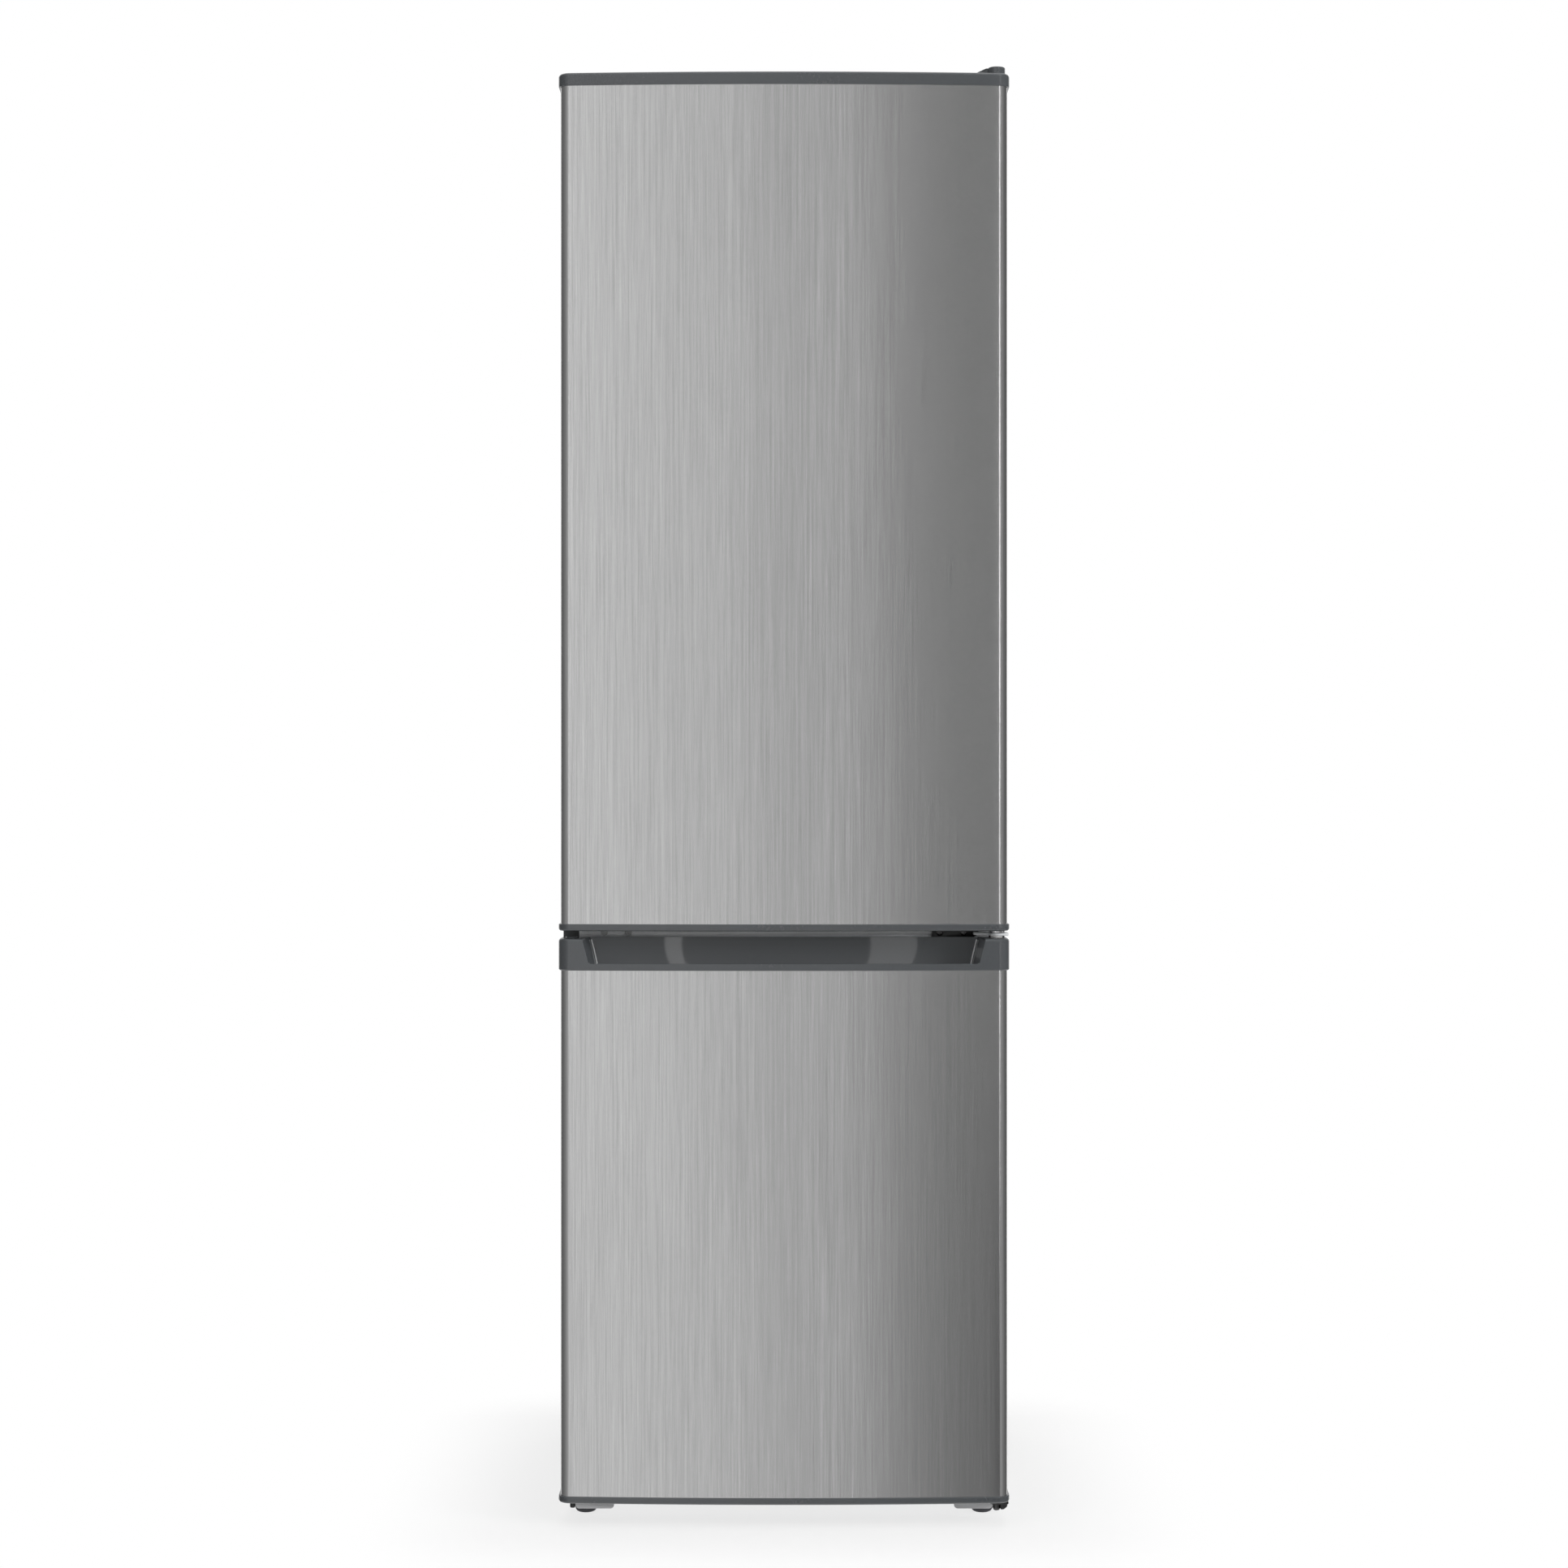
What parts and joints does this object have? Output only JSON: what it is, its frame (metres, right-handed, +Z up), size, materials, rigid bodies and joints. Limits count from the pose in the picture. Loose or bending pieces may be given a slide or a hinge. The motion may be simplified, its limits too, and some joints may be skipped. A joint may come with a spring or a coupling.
{
  "type": "fridge freezer",
  "caption": "Tall fridge freezer: fridge with shelves, crisper and door racks above, freezer with pull-out drawers below, brushed steel doors hinged on the right.",
  "frame": {"origin": "centre of the footprint on the floor", "axes": "+X to the right seen from the front, +Y to the back, +Z up; the doors face -Y"},
  "size_m": [0.55, 0.58, 1.78],
  "materials": {
    "cabinet_steel": "satin grey paint",
    "zinc_steel": "bare zinc sheet",
    "divider_steel": "satin grey paint",
    "foam": "rigid foam",
    "liner_plastic": "glossy white",
    "door_steel": "vertical brushed grain",
    "cap_plastic": "satin grey",
    "seal_rubber": "soft grey",
    "hinge_steel": "dark coated steel",
    "bracket_steel": "light grey coated steel",
    "washer_plastic": "white nylon",
    "screw_steel": "bright zinc",
    "foot_plastic": "black",
    "compressor_paint": "black enamel",
    "grommet_rubber": "soft black",
    "copper_pipe": "drawn copper",
    "drain_plastic": "grey hose",
    "evaporator_paint": "white enamel",
    "shelf_glass": "clear toughened glass",
    "trim_plastic": "white",
    "clear_plastic": "clear frosted",
    "lamp_glass": "opal"
  },
  "bodies": {
    "cabinet": {"cabinet_shell": "cabinet_steel", "base_pan": "zinc_steel", "back_panel": "zinc_steel", "compressor_rail": "zinc_steel", "divider_strip": "divider_steel", "cabinet_insulation": "foam", "fridge_liner": "liner_plastic", "freezer_liner": "liner_plastic", "top_hinge_cover": "cap_plastic", "divider_plugs": "cap_plastic", "top_hinge_bracket": "hinge_steel", "middle_hinge_bracket": "hinge_steel", "bottom_hinge_bracket": "bracket_steel", "left_foot_bracket": "bracket_steel", "hinge_washers": "washer_plastic", "hinge_screws": "screw_steel", "relay_cover": "foot_plastic", "drip_tray": "foot_plastic", "condenser_clips": "foot_plastic", "compressor": "compressor_paint", "condenser_tube": "compressor_paint", "condenser_wires": "compressor_paint", "compressor_grommets": "grommet_rubber", "refrigerant_pipes": "copper_pipe", "drain_tube": "drain_plastic", "evaporator_shelves": "evaporator_paint", "glass_shelf_1": "shelf_glass", "glass_shelf_2": "shelf_glass", "glass_shelf_3": "shelf_glass", "crisper_cover": "shelf_glass", "shelf_trims": "trim_plastic", "control_housing": "trim_plastic", "lamp_cover": "clear_plastic", "lamp": "lamp_glass"},
    "upper_door": {"upper_door_skin": "door_steel", "upper_door_top_cap": "cap_plastic", "upper_door_bottom_cap": "cap_plastic", "upper_door_liner": "liner_plastic", "upper_door_insulation": "foam", "upper_door_gasket": "seal_rubber", "balcony_1": "clear_plastic", "balcony_2": "clear_plastic", "balcony_3": "clear_plastic"},
    "lower_door": {"lower_door_skin": "door_steel", "lower_door_handle_cap": "cap_plastic", "lower_door_bottom_cap": "cap_plastic", "lower_door_liner": "liner_plastic", "lower_door_insulation": "foam", "lower_door_gasket": "seal_rubber", "handle_cap_plug": "cap_plastic"},
    "crisper_drawer": {"crisper_drawer": "clear_plastic"},
    "freezer_drawer_1": {"freezer_drawer_1": "clear_plastic"},
    "freezer_drawer_2": {"freezer_drawer_2": "clear_plastic"},
    "freezer_drawer_3": {"freezer_drawer_3": "clear_plastic"},
    "thermostat_knob": {"thermostat_knob": "trim_plastic"},
    "light_switch": {"light_switch": "trim_plastic"},
    "levelling_foot_left": {"levelling_foot_left": "foot_plastic"},
    "levelling_foot_right": {"levelling_foot_right": "foot_plastic"},
    "roller_left": {"roller_left": "foot_plastic"},
    "roller_right": {"roller_right": "foot_plastic"}
  },
  "joints": [
    {"name": "upper_door_hinge", "type": "hinge", "parent": "cabinet", "child": "upper_door", "pos_m": [0.26, -0.259, 1.2], "axis": [0, 0, 1], "range_deg": [0, 125]},
    {"name": "lower_door_hinge", "type": "hinge", "parent": "cabinet", "child": "lower_door", "pos_m": [0.26, -0.259, 0.4], "axis": [0, 0, 1], "range_deg": [0, 125]},
    {"name": "crisper_slide", "type": "slide", "parent": "cabinet", "child": "crisper_drawer", "axis": [0, -1, 0], "range_m": [0, 0.23]},
    {"name": "freezer_drawer_1_slide", "type": "slide", "parent": "cabinet", "child": "freezer_drawer_1", "axis": [0, -1, 0], "range_m": [0, 0.18]},
    {"name": "freezer_drawer_2_slide", "type": "slide", "parent": "cabinet", "child": "freezer_drawer_2", "axis": [0, -1, 0], "range_m": [0, 0.34]},
    {"name": "freezer_drawer_3_slide", "type": "slide", "parent": "cabinet", "child": "freezer_drawer_3", "axis": [0, -1, 0], "range_m": [0, 0.34]},
    {"name": "light_switch_slide", "type": "slide", "parent": "cabinet", "child": "light_switch", "axis": [0, -1, 0], "range_m": [0, 0.0055]},
    {"name": "thermostat_turn", "type": "hinge", "parent": "cabinet", "child": "thermostat_knob", "pos_m": [0.092, -0.112, 1.68], "axis": [0, 0, -1], "range_deg": [0, 270]},
    {"name": "foot_left_screw", "type": "hinge", "parent": "cabinet", "child": "levelling_foot_left", "pos_m": [-0.246, -0.199, 0.01], "axis": [0, 0, 1], "continuous": true},
    {"name": "foot_right_screw", "type": "hinge", "parent": "cabinet", "child": "levelling_foot_right", "pos_m": [0.246, -0.199, 0.01], "axis": [0, 0, 1], "continuous": true},
    {"name": "roller_left_roll", "type": "hinge", "parent": "cabinet", "child": "roller_left", "pos_m": [-0.235, 0.215, 0.018], "axis": [1, 0, 0], "continuous": true},
    {"name": "roller_right_roll", "type": "hinge", "parent": "cabinet", "child": "roller_right", "pos_m": [0.235, 0.215, 0.018], "axis": [1, 0, 0], "continuous": true}
  ],
  "couplings": [
    {"joint": "crisper_slide", "follows": "upper_door_hinge", "m_per_rad": 0.104},
    {"joint": "light_switch_slide", "follows": "upper_door_hinge", "m_per_rad": 0.0024},
    {"joint": "freezer_drawer_1_slide", "follows": "lower_door_hinge", "m_per_rad": 0.082},
    {"joint": "freezer_drawer_2_slide", "follows": "lower_door_hinge", "m_per_rad": 0.082},
    {"joint": "freezer_drawer_3_slide", "follows": "lower_door_hinge", "m_per_rad": 0.082}
  ]
}
